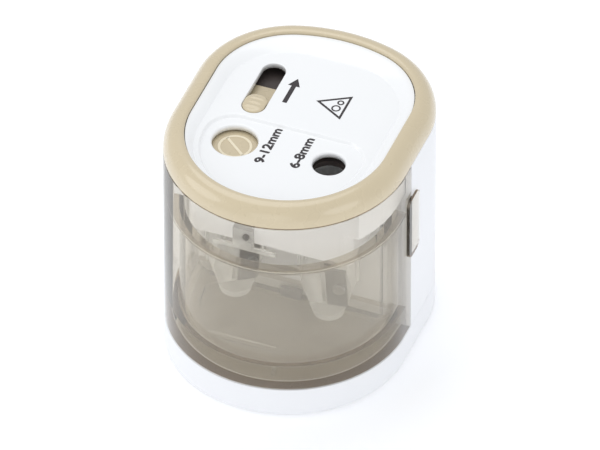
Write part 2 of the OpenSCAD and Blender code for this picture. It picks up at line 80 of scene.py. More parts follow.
def high(node):
    """Highest corner of a CAD node, in millimetres."""
    return np.array(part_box(node)[1]) * 1000


def mount(name):
    """Centre in millimetres and radius of a mount in the record."""
    found = next(m for m in frame["record"]["mounts"] if m["name"] == name)
    return np.array(found["pos_m"]) * 1000, found["dims"]["r_mm"]


# Sizes of the frame that the pieces are worked out from, in millimetres
BODY_W = high("bezel_ring")[0] - low("bezel_ring")[0]
BODY_D = high("bezel_ring")[1] - low("bezel_ring")[1]
BEZEL_Z = low("bezel_ring")[2]
BASE_TOP = low("rear_shell")[2]
DRAWER_Z = low("drawer")[2]
DRAWER_TOP = high("drawer")[2]
SEAM = low("rear_shell")[1]
LEDGE_Z = high("shavings_tub")[2]
LARGE_HOLE, LARGE_R = mount("large_pencil_hole")
SMALL_HOLE, SMALL_R = mount("small_pencil_hole")
PLATE_TOP = high("shutter_plate")[2]


class SharpenerSizes(bpy.types.PropertyGroup):
    """Sizes in millimetres that the casings are drawn with"""

    bezel_w: FloatProperty(
        name="Bezel width", description="Width of the bezel seen from above", default=5.7, min=5
    )
    wall: FloatProperty(name="Wall", description="Thickness of the white walls", default=2.0, min=1)
    drawer_wall: FloatProperty(
        name="Drawer wall", description="Thickness of the drawer's wall", default=1.8, min=1
    )
    ledge_w: FloatProperty(name="Ledge", description="How far the tub's rim stands in", default=3.6, min=2)
    edge_z: FloatProperty(name="Bezel edge", description="Height of the bezel's inner edge", default=71.8)
    floor_z: FloatProperty(name="Panel floor", description="Height of the panel's floor", default=69.55)
    hole_z: FloatProperty(name="Hole area", description="Height of the area round the holes", default=68.7)
    lip: FloatProperty(
        name="Hole lip", description="Radius of the rounding at the pencil holes", default=0.7, min=0.1
    )


class SharpenerColours(bpy.types.PropertyGroup):
    """Colours of the finishes"""

    white: FloatVectorProperty(
        name="White", description="Moulded white casing", subtype="COLOR", default=linear("#F1F2F4")
    )
    panel: FloatVectorProperty(
        name="Panel", description="White panel", subtype="COLOR", default=linear("#F9FAFA")
    )
    beige: FloatVectorProperty(
        name="Beige", description="Pearly bezel", subtype="COLOR", default=linear("#D3C4A4")
    )
    ink: FloatVectorProperty(
        name="Ink", description="Printed marks", subtype="COLOR", default=linear("#332D2F")
    )


def sizes():
    return bpy.context.scene.sharpener_sizes


def colours():
    return bpy.context.scene.sharpener_colours


# ---- Outlines: arrays of arc centres, radii and directions, so that any offset keeps the same centres


def arc(cx, cy, r, a0, a1, n):
    """n + 1 stations on an arc from angle a0 to a1 in degrees: centres, radii and unit directions."""
    a = np.radians(np.linspace(a0, a1, n + 1))
    centre = np.tile([cx, cy], (n + 1, 1)).astype(float)
    return centre, np.full(n + 1, float(r)), np.stack([np.cos(a), np.sin(a)], 1)


def join(*parts):
    return tuple(np.concatenate([p[i] for p in parts]) for i in range(3))


def at(outline, offset):
    """Points of an outline moved out by offset: centre + (radius + offset) * direction."""
    centre, r, d = outline
    return centre + (r + offset)[:, None] * d


def corner(w, rc, rr, yt):
    """Centre of the right rear corner arc and its angle: it meets the side at w and the bowed back of radius rr."""
    a = math.acos((w - rc) / (rr - rc))
    return w - rc, yt - rr + (rr - rc) * math.sin(a), math.degrees(a)


def full_outline(w, fy, rc, rr, yt):
    """Half-round front of radius w, straight sides, rear corners of radius rc and a back of radius rr to yt."""
    cx, cy, a = corner(w, rc, rr, yt)
    return join(
        arc(0, fy, w, 180, 360, 120),
        arc(cx, cy, rc, 0, a, 48),
        arc(0, yt - rr, rr, a + 1, 179 - a, 36),
        arc(-cx, cy, rc, 180 - a, 180, 48),
    )


def body_shape():
    """Half width, front centre, corner radius, back radius and back end of the bezel's opening."""
    b = sizes().bezel_w
    return BODY_W / 2 - b, (BODY_W - BODY_D) / 2, 22.0, 42.0, BODY_D / 2 - b


def opening():
    return full_outline(*body_shape())


def front_outline(y):
    """The opening's outline in front of y, from the left side round to the right."""
    w, fy, *_ = body_shape()
    return join(arc(0, y, w, 180, 180, 0), arc(0, fy, w, 180, 360, 144), arc(0, y, w, 0, 0, 0))


def rear_outline(y):
    """The opening's outline behind y, from the right side round to the left."""
    w, _, rc, rr, yt = body_shape()
    cx, cy, a = corner(w, rc, rr, yt)
    return join(
        arc(0, y, w, 0, 0, 0),
        arc(cx, cy, rc, 0, a, 48),
        arc(0, yt - rr, rr, a + 1, 179 - a, 36),
        arc(-cx, cy, rc, 180 - a, 180, 48),
        arc(0, y, w, 180, 180, 0),
    )


def dish_outline():
    """The panel's flat floor, which meets the opening at the front and keeps clear of it at the sides and back."""
    w, fy, _, _, yt = body_shape()
    return full_outline(w - 3.6, fy - 3.2, 18.0, 50.0, yt - 6.5)


def hole_outline():
    """The lower area around the pencil holes: a half-round front and a straight back with rounded corners."""
    return join(
        arc(0, -10.6, 22.6, 180, 360, 120), arc(14.6, -10.1, 8, 0, 90, 30), arc(-14.6, -10.1, 8, 90, 180, 30)
    )


def circle(centre, r):
    return arc(centre[0], centre[1], r, 0, 360 - 360 / 96, 95)


def round_box(x0, y0, x1, y1, r):
    """Corners of a box rounded with radius r."""
    return at(
        join(
            arc(x0 + r, y0 + r, r, 180, 270, 8),
            arc(x1 - r, y0 + r, r, 270, 360, 8),
            arc(x1 - r, y1 - r, r, 0, 90, 8),
            arc(x0 + r, y1 - r, r, 90, 180, 8),
        ),
        0,
    )


def slot_outline(x, y0, y1, w, n=32):
    """A slot of width w with round ends from y0 to y1."""
    return join(arc(x, y0 + w / 2, w / 2, 180, 360, n), arc(x, y1 - w / 2, w / 2, 0, 180, n))


# ---- Surfaces: each part is (points, faces), in millimetres


def grid_faces(n, k, wrap_n, wrap_k):
    """Quads of an n by k grid of points, joined end to start where wrap says so."""
    i = np.arange(n if wrap_n else n - 1)[:, None]
    j = np.arange(k if wrap_k else k - 1)[None, :]
    i2, j2 = (i + 1) % n, (j + 1) % k
    quads = np.stack([i * k + j, i2 * k + j, i2 * k + j2, i * k + j2], -1)
    return quads.reshape(-1, 4).tolist()


def sweep(outline, section, closed=True, loop=True):
    """A section of (offset, height) points carried along an outline: centre + (radius + offset) * direction."""
    centre, r, d = outline
    o, z = np.array(section, float).T
    xy = centre[:, None] + (r[:, None] + o[None, :])[..., None] * d[:, None]
    n, k = xy.shape[:2]
    pts = np.concatenate([xy, np.broadcast_to(z[None, :, None], (n, k, 1))], 2).reshape(-1, 3)
    faces = grid_faces(n, k, closed, loop)
    if not closed and loop:
        faces += [list(range(k)), list(range((n - 1) * k, n * k))]
    return pts, faces


def loft(rings):
    """Rings of (points, height), each with as many points, joined in order without end faces."""
    pts = np.concatenate([np.column_stack([p, np.full(len(p), float(z))]) for p, z in rings])
    return pts, grid_faces(len(rings), len(rings[0][0]), False, True)


def flat(outer, holes, z):
    """A flat face at height z inside an outer loop of points and outside the holes."""
    loops = [outer, *holes]
    pts = np.concatenate(loops)
    tris = tessellate_polygon([[Vector((x, y, 0)) for x, y in loop] for loop in loops])
    return np.column_stack([pts, np.full(len(pts), float(z))]), [list(t) for t in tris]


def slab(outer, holes, z0, z1):
    """A plate between two heights with straight sides."""
    sides = [loft([(loop, z0), (loop, z1)]) for loop in [outer, *holes]]
    return [flat(outer, holes, z0), flat(outer, holes, z1), *sides]


def fillet(corners, n=6):
    """A closed section through (offset, height, radius) corners: each corner is an arc of its radius."""
    out = []
    pts = np.array([c[:2] for c in corners], float)
    for i, (_, _, r) in enumerate(corners):
        p = pts[i]
        u, v = pts[i - 1] - p, pts[(i + 1) % len(pts)] - p
        u, v = u / np.hypot(*u), v / np.hypot(*v)
        half = math.acos(np.clip(u @ v, -1, 1)) / 2
        if r == 0 or half > 1.56:
            out.append(p)
            continue
        mid = (u + v) / np.hypot(*(u + v))
        c = p + mid * r / math.sin(half)
        a = p + u * r / math.tan(half) - c
        b = p + v * r / math.tan(half) - c
        span = math.acos(np.clip(a @ b / r**2, -1, 1))
        t = np.linspace(0, 1, n + 1)
        out += list(c + (np.sin((1 - t) * span)[:, None] * a + np.sin(t * span)[:, None] * b) / math.sin(span))
    return np.array(out)


def piece(name, parts, body, material, replaces=(), up=False, sharp=35):
    """Joins parts into one mesh object, merges its seams, turns its faces outwards and shades it."""
    pts, faces, base = [], [], 0
    for p, f in parts:
        pts.append(p)
        faces += [[i + base for i in face] for face in f]
        base += len(p)
    mesh = bpy.data.meshes.new(name)
    mesh.from_pydata((np.concatenate(pts) * MM).tolist(), [], faces)
    bm = bmesh.new()
    bm.from_mesh(mesh)
    bmesh.ops.remove_doubles(bm, verts=bm.verts, dist=2e-6)
    bmesh.ops.recalc_face_normals(bm, faces=bm.faces)
    if up and sum(f.normal.z * f.calc_area() for f in bm.faces) < 0:
        bmesh.ops.reverse_faces(bm, faces=bm.faces)
    bm.to_mesh(mesh)
    bm.free()
    mesh.shade_smooth()
    mesh.set_sharp_from_angle(angle=math.radians(sharp))
    obj = bpy.data.objects.new(name, mesh)
    bpy.context.scene.collection.objects.link(obj)
    obj.data.materials.append(material)
    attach(obj, body)
    if replaces:
        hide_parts(*replaces)
    return obj


# ---- Materials


def new_material(name):
    """The material of this name if it is there already, or a new one with an empty node tree and its output."""
    found = bpy.data.materials.get(name)
    if found:
        return found, None, None
    mat = bpy.data.materials.new(name)
    mat.use_nodes = True
    tree = mat.node_tree
    tree.nodes.clear()
    return mat, tree, tree.nodes.new("ShaderNodeOutputMaterial")


def add(tree, kind, inputs=None, **settings):
    """Adds a node: settings are its own values, and inputs maps socket names to values or sockets to link."""
    node = tree.nodes.new("ShaderNode" + kind)
    for key, value in settings.items():
        setattr(node, key, value)
    for key, value in (inputs or {}).items():
        socket = node.inputs[key]
        if isinstance(value, bpy.types.NodeSocket):
            tree.links.new(value, socket)
        elif hasattr(socket.default_value, "__len__") and len(value) == 3 and len(socket.default_value) == 4:
            socket.default_value = (*value, 1)
        else:
            socket.default_value = value
    return node


def shade(colour, factor):
    return tuple(c * factor for c in colour)


def flow(tree, size_mm, colour, amount):
    """A colour that drifts by amount over size_mm, as the flow in a moulding does."""
    place = add(tree, "TexCoord").outputs["Object"]
    noise = add(tree, "TexNoise", {"Vector": place, "Scale": 1000 / size_mm, "Detail": 3.0}).outputs["Fac"]
    level = add(tree, "MapRange", {"Value": noise, "From Min": 0.3, "From Max": 0.7}).outputs["Result"]
    mix = add(tree, "Mix", {"Factor": level, "A": shade(colour, 1 - amount), "B": colour}, data_type="RGBA")
    return mix.outputs["Result"]


def skin(tree, size_mm, height_mm):
    """A fine moulded or rubbed surface with features of size_mm, height_mm deep."""
    place = add(tree, "TexCoord").outputs["Object"]
    noise = add(tree, "TexNoise", {"Vector": place, "Scale": 1000 / size_mm, "Detail": 2.0}).outputs["Fac"]
    return add(tree, "Bump", {"Height": noise, "Distance": height_mm * MM}).outputs["Normal"]


def wear(tree, size_mm, least, most):
    """Roughness that varies between two values over size_mm, as handling leaves it."""
    place = add(tree, "TexCoord").outputs["Object"]
    noise = add(tree, "TexNoise", {"Vector": place, "Scale": 1000 / size_mm, "Detail": 3.0}).outputs["Fac"]
    values = {"Value": noise, "From Min": 0.3, "From Max": 0.7, "To Min": least, "To Max": most}
    return add(tree, "MapRange", values).outputs["Result"]


def moulded_abs(name, colour, rough, texture_mm=1.2):
    """Injection-moulded ABS: an even colour with faint flow and a satin skin that breaks up highlights."""
    mat, tree, out = new_material(name)
    if tree:
        shader = add(
            tree,
            "BsdfPrincipled",
            {
                "Base Color": flow(tree, 14, colour, 0.01),
                "Roughness": wear(tree, 6, rough * 0.94, rough * 1.06),
                "IOR": 1.53,
                "Normal": skin(tree, texture_mm, 0.0012),
            },
        )
        tree.links.new(shader.outputs[0], out.inputs["Surface"])
    return mat


def pearl_abs():
    """Polished ABS with a pearl pigment: a beige with a faint sparkle under a clear, glossy skin."""
    mat, tree, out = new_material("Pearl ABS")
    if tree:
        beige = colours().beige
        place = add(tree, "TexCoord").outputs["Object"]
        flakes = add(tree, "TexVoronoi", {"Vector": place, "Scale": 1000 / 0.35})
        speck = add(
            tree,
            "MapRange",
            {"Value": flakes.outputs["Color"], "From Min": 0.86, "From Max": 1.0, "To Min": 0.0, "To Max": 0.14},
        )
        tone = add(
            tree,
            "Mix",
            {"Factor": speck.outputs["Result"], "A": flow(tree, 9, beige, 0.025), "B": linear("#F6EBCB")},
            data_type="RGBA",
        )
        shader = add(
            tree,
            "BsdfPrincipled",
            {
                "Base Color": tone.outputs["Result"],
                "Roughness": wear(tree, 5, 0.24, 0.32),
                "IOR": 1.5,
                "Coat Weight": 0.7,
                "Coat Roughness": 0.06,
                "Normal": skin(tree, 6.0, 0.003),
            },
        )
        tree.links.new(shader.outputs[0], out.inputs["Surface"])
    return mat


def clear_plastic(name, depth_colour, density, flat_colour, haze_and_highlight_colour, milk, painted_edge_highlight):
    """Clear moulded plastic with thin walls: what stands behind is seen straight through, tinted by the depth.

    Level faces, behind which light runs a long way, take flat_colour. Rounded edges and coves are whitened with a
    painted highlight, for the bright lines that light makes along them. Rays to the lamps pass through, so that what
    stands inside is lit.
    """
    mat, tree, out = new_material(name)
    if not tree:
        return mat
    bumped = skin(tree, 9, 0.01)
    place = add(tree, "NewGeometry")
    height = add(tree, "SeparateXYZ", {0: place.outputs["Normal"]}).outputs["Z"]
    lying = add(tree, "Math", {0: height}, operation="ABSOLUTE").outputs[0]
    level = add(tree, "MapRange", {"Value": lying, "From Min": 0.8, "From Max": 0.98}).outputs["Result"]
    # A rounded edge is where the normal is between upright and level.
    # 4 n (1 - n) is 1 halfway and 0 at both ends.
    rest = add(tree, "Math", {0: 1.0, 1: lying}, operation="SUBTRACT").outputs[0]
    both = add(tree, "Math", {0: lying, 1: rest}, operation="MULTIPLY").outputs[0]
    # Rounded edges are whitened by this much: a painted highlight for the bright lines that light draws along them.
    edge = add(tree, "Math", {0: both, 1: 4.0 * painted_edge_highlight}, operation="MULTIPLY").outputs[0]
    amount = add(tree, "Math", {0: wear(tree, 11, milk * 0.7, milk * 1.3), 1: edge}, operation="ADD").outputs[0]
    tints = {"Factor": level, "A": (1, 1, 1), "B": flat_colour}
    tint = add(tree, "Mix", tints, data_type="RGBA").outputs["Result"]
    through = add(tree, "BsdfRefraction", {"Color": tint, "Roughness": 0.0, "IOR": 1.03}).outputs[0]
    # The milky white is haze that varies at random, plus the painted highlight at the rounded edges.
    cloud = add(tree, "BsdfDiffuse", {"Color": haze_and_highlight_colour, "Normal": bumped}).outputs[0]
    body = add(tree, "MixShader", {0: amount, 1: through, 2: cloud}).outputs[0]
    shine = add(tree, "BsdfGlossy", {"Color": (1, 1, 1), "Roughness": 0.05, "Normal": bumped}).outputs[0]
    # Only the face towards the light mirrors it, because rays leave a thin wall as they came in.
    front = add(tree, "Math", {0: 1.0, 1: place.outputs["Backfacing"]}, operation="SUBTRACT").outputs[0]
    fresnel = add(tree, "Fresnel", {"IOR": 1.5}).outputs[0]
    mirror = add(tree, "Math", {0: fresnel, 1: front}, operation="MULTIPLY").outputs[0]
    seen = add(tree, "MixShader", {0: mirror, 1: body, 2: shine}).outputs[0]
    passing = add(tree, "BsdfTransparent", {"Color": (0.98, 0.98, 0.97)}).outputs[0]
    lamp_ray = add(tree, "LightPath").outputs["Is Shadow Ray"]
    surface = add(tree, "MixShader", {0: lamp_ray, 1: seen, 2: passing}).outputs[0]
    tree.links.new(surface, out.inputs["Surface"])
    depth = add(tree, "VolumeAbsorption", {"Color": depth_colour, "Density": density}).outputs[0]
    tree.links.new(depth, out.inputs["Volume"])
    return mat


def smoke_polycarbonate():
    """Smoke-tinted polycarbonate of the drawer's outer wall, brown along its level edges."""
    return clear_plastic(
        "Smoke polycarbonate", linear("#B8A566"), 58, linear("#A6957F"), linear("#E4DACA"), 0.03, 0.25
    )


def smoke_styrene():
    """Smoke-tinted styrene of the tub, whose rim and cove catch the light."""
    return clear_plastic("Smoke styrene", linear("#BCAC78"), 50, linear("#E2DCD2"), linear("#EFEAE0"), 0.05, 0.45)


def grip_polycarbonate():
    """Smoke-tinted polycarbonate of the grips, whose rims are brown."""
    return clear_plastic(
        "Grip polycarbonate", linear("#B8A566"), 150, linear("#7C6B5A"), linear("#D8CBB8"), 0.08, 0.3
    )


def clear_styrene():
    """Clear styrene of the cutter carriers and the catch: it bends light, and its edges are bright."""
    mat, tree, out = new_material("Clear styrene")
    if tree:
        bumped = skin(tree, 5, 0.02)
        bulk = add(
            tree,
            "BsdfPrincipled",
            {
                "Base Color": (1, 1, 1),
                "Roughness": 0.04,
                "IOR": 1.45,
                "Transmission Weight": 1.0,
                "Normal": bumped,
            },
        ).outputs[0]
        cloud = add(tree, "BsdfDiffuse", {"Color": linear("#FAFAF8"), "Normal": bumped}).outputs[0]
        seen = add(tree, "MixShader", {0: wear(tree, 6, 0.25, 0.42), 1: bulk, 2: cloud}).outputs[0]
        passing = add(tree, "BsdfTransparent", {"Color": (0.97, 0.97, 0.97)}).outputs[0]
        lamp_ray = add(tree, "LightPath").outputs["Is Shadow Ray"]
        surface = add(tree, "MixShader", {0: lamp_ray, 1: seen, 2: passing}).outputs[0]
        tree.links.new(surface, out.inputs["Surface"])
    return mat


def acetal():
    """Moulded acetal of the gears: milky, waxy and slightly see-through at thin teeth."""
    mat, tree, out = new_material("Acetal")
    if tree:
        white = linear("#EFEDE6")
        shader = add(
            tree,
            "BsdfPrincipled",
            {
                "Base Color": flow(tree, 4, white, 0.04),
                "Roughness": wear(tree, 2, 0.3, 0.42),
                "IOR": 1.48,
                "Subsurface Weight": 0.15,
                "Subsurface Scale": 0.001,
                "Normal": skin(tree, 0.4, 0.004),
            },
        )
        tree.links.new(shader.outputs[0], out.inputs["Surface"])
    return mat


def rubber():
    """Moulded rubber of the feet: dark, dusty and matt."""
    mat, tree, out = new_material("Rubber")
    if tree:
        shader = add(
            tree,
            "BsdfPrincipled",
            {
                "Base Color": flow(tree, 1.5, linear("#2E2E30"), 0.25),
                "Roughness": wear(tree, 1, 0.75, 0.95),
                "IOR": 1.52,
                "Normal": skin(tree, 0.3, 0.03),
            },
        )
        tree.links.new(shader.outputs[0], out.inputs["Surface"])
    return mat


def metal(name, colour, rough, line_mm, stretch=(1, 1, 1), flaw=0.12):
    """Metal worked by rolling or turning: fine lines of line_mm along the cut, which spread highlights."""
    mat, tree, out = new_material(name)
    if tree:
        here = add(tree, "TexCoord").outputs["Object"]
        place = add(tree, "Mapping", {"Vector": here, "Scale": stretch}).outputs[0]
        lines = add(tree, "TexNoise", {"Vector": place, "Scale": 1000 / line_mm, "Detail": 2.0}).outputs["Fac"]
        tone = add(tree, "Mix", {"Factor": lines, "A": shade(colour, 1 - flaw), "B": colour}, data_type="RGBA")
        spread = {"Value": lines, "From Min": 0.3, "From Max": 0.7, "To Min": rough, "To Max": rough + 0.15}
        rub = add(tree, "MapRange", spread)
        bump = add(tree, "Bump", {"Height": lines, "Distance": 0.004 * MM})
        shader = add(
            tree,
            "BsdfPrincipled",
            {
                "Base Color": tone.outputs["Result"],
                "Metallic": 1.0,
                "Roughness": rub.outputs["Result"],
                "Normal": bump.outputs["Normal"],
            },
        )
        tree.links.new(shader.outputs[0], out.inputs["Surface"])
    return mat


def winding():
    """Enamelled copper wire of the armature, in turns 0.3 mm apart, with painted shade in the grooves between the
    turns.
    """
    mat, tree, out = new_material("Copper winding")
    if tree:
        place = add(tree, "TexCoord").outputs["Object"]
        turns = add(
            tree, "TexWave", {"Vector": place, "Scale": 1000 / 0.3 / 6.28}, bands_direction="Z", wave_profile="SIN"
        ).outputs["Fac"]
        # The copper darkens where the wave dips between turns: painted shade in the grooves, not a colour of the
        # wire.
        tone = add(
            tree, "Mix", {"Factor": turns, "A": linear("#6E3318"), "B": linear("#C97B46")}, data_type="RGBA"
        ).outputs["Result"]
        bump = add(tree, "Bump", {"Height": turns, "Distance": 0.1 * MM}).outputs["Normal"]
        shader = add(
            tree, "BsdfPrincipled", {"Base Color": tone, "Metallic": 0.9, "Roughness": 0.35, "Normal": bump}
        )
        tree.links.new(shader.outputs[0], out.inputs["Surface"])
    return mat


def cell_film():
    """Printed film round a dry cell: a plain band over a darker sleeve, with bare steel at both ends."""
    mat, tree, out = new_material("Cell film")
    if tree:
        place = add(tree, "TexCoord").outputs["Object"]
        z = add(tree, "SeparateXYZ", {0: place}).outputs["Z"]
        share = add(tree, "Math", {0: z, 1: 1 / 0.06}, operation="MULTIPLY").outputs[0]
        band = add(tree, "ValToRGB", {"Fac": share})
        stops = band.color_ramp
        stops.interpolation = "CONSTANT"
        stops.elements[0].color = (*linear("#B9BABB"), 1)
        stops.elements[1].position = 0.11
        stops.elements[1].color = (*linear("#3C4550"), 1)
        for position, code in ((0.66, "#C9CDD1"), (0.68, "#7F9A8C"), (0.87, "#B9BABB")):
            stops.elements.new(position).color = (*linear(code), 1)
        shader = add(
            tree,
            "BsdfPrincipled",
            {
                "Base Color": band.outputs["Color"],
                "Metallic": 0.6,
                "Roughness": wear(tree, 3, 0.25, 0.38),
                "Normal": skin(tree, 5, 0.01),
            },
        )
        tree.links.new(shader.outputs[0], out.inputs["Surface"])
    return mat


def printed_ink():
    """Pad-printed ink: nearly black, thin, with slightly uneven gloss."""
    mat, tree, out = new_material("Printed ink")
    if tree:
        shader = add(
            tree,
            "BsdfPrincipled",
            {"Base Color": flow(tree, 1.2, colours().ink, 0.15), "Roughness": wear(tree, 0.8, 0.4, 0.55)},
        )
        tree.links.new(shader.outputs[0], out.inputs["Surface"])
    return mat


# ---- Operators


class SHARPENER_OT_stage(bpy.types.Operator):
    """Adds the pale floor, the soft lights and the camera"""

    bl_idname = "sharpener.stage"
    bl_label = "Stage"

    def execute(self, context):
        floor = bpy.data.meshes.new("floor")
        half = 3.0
        corners = [(-half, -half, 0), (half, -half, 0), (half, half, 0), (-half, half, 0)]
        floor.from_pydata(corners, [], [(0, 1, 2, 3)])
        ground = bpy.data.objects.new("floor", floor)
        context.scene.collection.objects.link(ground)
        mat, tree, out = new_material("Studio paper")
        shader = add(
            tree,
            "BsdfPrincipled",
            {
                "Base Color": flow(tree, 400, linear("#F6F7F9"), 0.01),
                "Roughness": 0.7,
                "Emission Color": (1, 1, 1),
                "Emission Strength": 0.22,
            },
        )
        tree.links.new(shader.outputs[0], out.inputs["Surface"])
        floor.materials.append(mat)
        world = bpy.data.worlds.new("studio")
        world.use_nodes = True
        world.node_tree.nodes["Background"].inputs["Color"].default_value = (*linear("#F4F6FA"), 1)
        world.node_tree.nodes["Background"].inputs["Strength"].default_value = 0.76
        context.scene.world = world
        middle = Vector((0, 0, 0.05))
        for name, place, size, power in (
            ("overhead", (-0.15, 0.15, 0.7), 0.6, 1.25),
            ("left softbox", (-0.6, -0.35, 0.35), 0.5, 0.9),
            ("right softbox", (0.7, -0.3, 0.3), 0.45, 0.65),
            ("front card", (0.1, -0.8, 0.25), 0.5, 0.4),
        ):
            data = bpy.data.lights.new(name, "AREA")
            data.shape = "DISK"
            data.size = size
            data.energy = power
            lamp = bpy.data.objects.new(name, data)
            lamp.location = place
            lamp.rotation_euler = (middle - Vector(place)).to_track_quat("-Z", "Y").to_euler()
            context.scene.collection.objects.link(lamp)
        turn, tilt = math.radians(CAMERA_TURN), math.radians(CAMERA_TILT)
        back = Vector((math.sin(turn) * math.cos(tilt), -math.cos(turn) * math.cos(tilt), math.sin(tilt)))
        target = Vector((16.549, -41.139, 71.8)) * MM
        camera = bpy.data.objects.new("camera", bpy.data.cameras.new("camera"))
        camera.data.lens = CAMERA_LENS
        camera.data.sensor_width = 36
        camera.data.clip_end = 20
        camera.location = target + back * CAMERA_DISTANCE
        camera.rotation_euler = (-back).to_track_quat("-Z", "Y").to_euler()
        context.scene.collection.objects.link(camera)
        context.scene.camera = camera
        context.scene.view_settings.view_transform = "Standard"
        return {"FINISHED"}


class SHARPENER_OT_bezel(bpy.types.Operator):
    """Makes the pearly bezel: a quarter-round band with a fine inner lip"""

    bl_idname = "sharpener.bezel"
    bl_label = "Bezel"

    def execute(self, context):
        s = sizes()
        crest, top = 1.2, s.edge_z + 0.5
        # Outside and inside are quarter ellipses.
        # The lip between them drops half a millimetre in a quarter turn.
        a = np.radians(np.linspace(0, 90, 33))[:, None]
        start = np.array([[crest, BEZEL_Z + 0.3]])
        outside = start + np.hstack([(s.bezel_w - crest) * np.cos(a), (top - BEZEL_Z - 0.3) * np.sin(a)])
        b = np.radians(np.linspace(10, 90, 8))
        lip = np.column_stack([crest * (1 - np.sin(b)), top - 0.5 * (1 - np.cos(b))])
        under = s.edge_z - 0.9
        inner = s.bezel_w - s.wall
        c = a[::-3]
        inside = np.hstack([crest + (inner - crest) * np.cos(c), BEZEL_Z + (under - BEZEL_Z) * np.sin(c)])
        section = np.vstack([outside, lip, [[0, under]], inside, [[s.bezel_w - 0.25, BEZEL_Z]]])
        piece("bezel", [sweep(opening(), section)], "housing", pearl_abs(), ["bezel_ring"])
        return {"FINISHED"}


class SHARPENER_OT_panel(bpy.types.Operator):
    """Makes the dished panel with its lower hole area, pencil holes and knob slot, and its printed marks"""

    bl_idname = "sharpener.panel"
    bl_label = "Panel"

    def execute(self, context):
        s = sizes()
        rim, dish = at(opening(), -0.2), at(dish_outline(), 0)
        rim_z = s.edge_z - 0.5
        # The dish's side starts level at the rim and steepens towards the floor: height falls as a cosine.
        side = [(rim, s.edge_z - 1.3)]
        for t in np.linspace(0, 1, 16):
            side.append((rim * (1 - t) + dish * t, s.floor_z + (rim_z - s.floor_z) * math.cos(math.pi / 2 * t)))
        area = hole_outline()
        # The step down to the hole area is an S of half a cosine, 0.9 mm wide.
        step = [
            (at(area, 0.3 - 0.9 * t), s.hole_z + (s.floor_z - s.hole_z) * (1 + math.cos(math.pi * t)) / 2)
            for t in np.linspace(0, 1, 10)
        ]
        slot_lo, slot_hi = low("shutter_knob"), high("shutter_knob")
        x = (slot_lo[0] + slot_hi[0]) / 2
        slot = slot_outline(x, slot_lo[1] - 0.1, slot_lo[1] - 0.1 + 21.6, 6.6)
        holes = [(circle(LARGE_HOLE, LARGE_R), s.lip, s.hole_z), (circle(SMALL_HOLE, SMALL_R), s.lip, s.hole_z)]
        rims = [*holes, (slot, 0.25, s.floor_z)]
        lips = []
        for outline, r, z in rims:
            # A quarter round from the panel's face into the hole, then straight down.
            angles = np.radians(range(0, 91, 15))
            turn = [(at(outline, r * (1 - math.sin(a))), z - r * (1 - math.cos(a))) for a in angles]
            lips.append(loft([*turn, (at(outline, 0), z - 1.6)]))
        parts = [
            loft(side),
            loft(step),
            flat(dish, [step[0][0], at(slot, 0.25)], s.floor_z),
            flat(step[-1][0], [at(o, r) for o, r, _ in holes], s.hole_z),
            *lips,
        ]
        polished = moulded_abs("Polished ABS", colours().panel, 0.2, 3.0)
        panel = piece("panel", parts, "housing", polished, ["top_panel"], up=True)
        solid = panel.modifiers.new("thickness", "SOLIDIFY")
        solid.thickness = 0.5 * MM
        solid.offset = -1
        # Large level faces set the shading at their edges, so that they look flat.
        panel.modifiers.new("even shading", "WEIGHTED_NORMAL").keep_sharp = True
        self.marks(context)
        return {"FINISHED"}

    def marks(self, context):
        s = sizes()
        ink = printed_ink()
        thick = 0.03
        shapes = []
        level_z = s.hole_z + thick
        for words, base_x, y0, length in (("9-12mm", -3.1, -17.8, 14.8), ("6-8mm", 6.4, -16.4, 12.8)):
            curve = bpy.data.curves.new("size mark", "FONT")
            curve.body = words
            curve.size = 3.7
            curve.offset = 0.05
            text = bpy.data.objects.new("size mark", curve)
            context.scene.collection.objects.link(text)
            context.view_layer.update()
            mesh = bpy.data.meshes.new_from_object(text.evaluated_get(context.evaluated_depsgraph_get()))
            co = np.empty(len(mesh.vertices) * 3)
            mesh.vertices.foreach_get("co", co)
            co = co.reshape(-1, 3)
            co[:, 0] = (co[:, 0] - co[:, 0].min()) * length / np.ptp(co[:, 0])
            # The line of text runs to the back and its top points to the left.
            # Copies side by side make the strokes bold.
            for shift in (-0.1, 0, 0.1):
                level = np.full(len(co), level_z + shift * 0.05)
                flat_pts = np.column_stack([base_x - co[:, 1] + shift, y0 + co[:, 0] + shift, level])
                shapes.append((flat_pts, [list(p.vertices) for p in mesh.polygons]))
            bpy.data.objects.remove(text)
            bpy.data.meshes.remove(mesh)
        arrow = np.array(
            [(-7.05, 6.9), (-5.75, 6.9), (-5.75, 14.2), (-4.7, 14.2), (-6.4, 17.4), (-8.1, 14.2), (-7.05, 14.2)]
        )
        shapes += [flat(arrow, [], s.floor_z + thick)]
        sign = np.array([(1.4, 10.7), (10.1, 5.6), (10.1, 15.8)])
        middle = sign.mean(0)
        shapes.append(flat(sign, [middle + (sign - middle) * 0.78], s.floor_z + thick))
        for centre, r in (((7.5, 9.6), 1.3), ((7.9, 12.2), 0.98)):
            ring = circle(centre, r)
            shapes.append(flat(at(ring, 0), [at(ring, -0.45)], s.floor_z + thick))
        piece("printed_marks", shapes, "housing", ink, up=True)


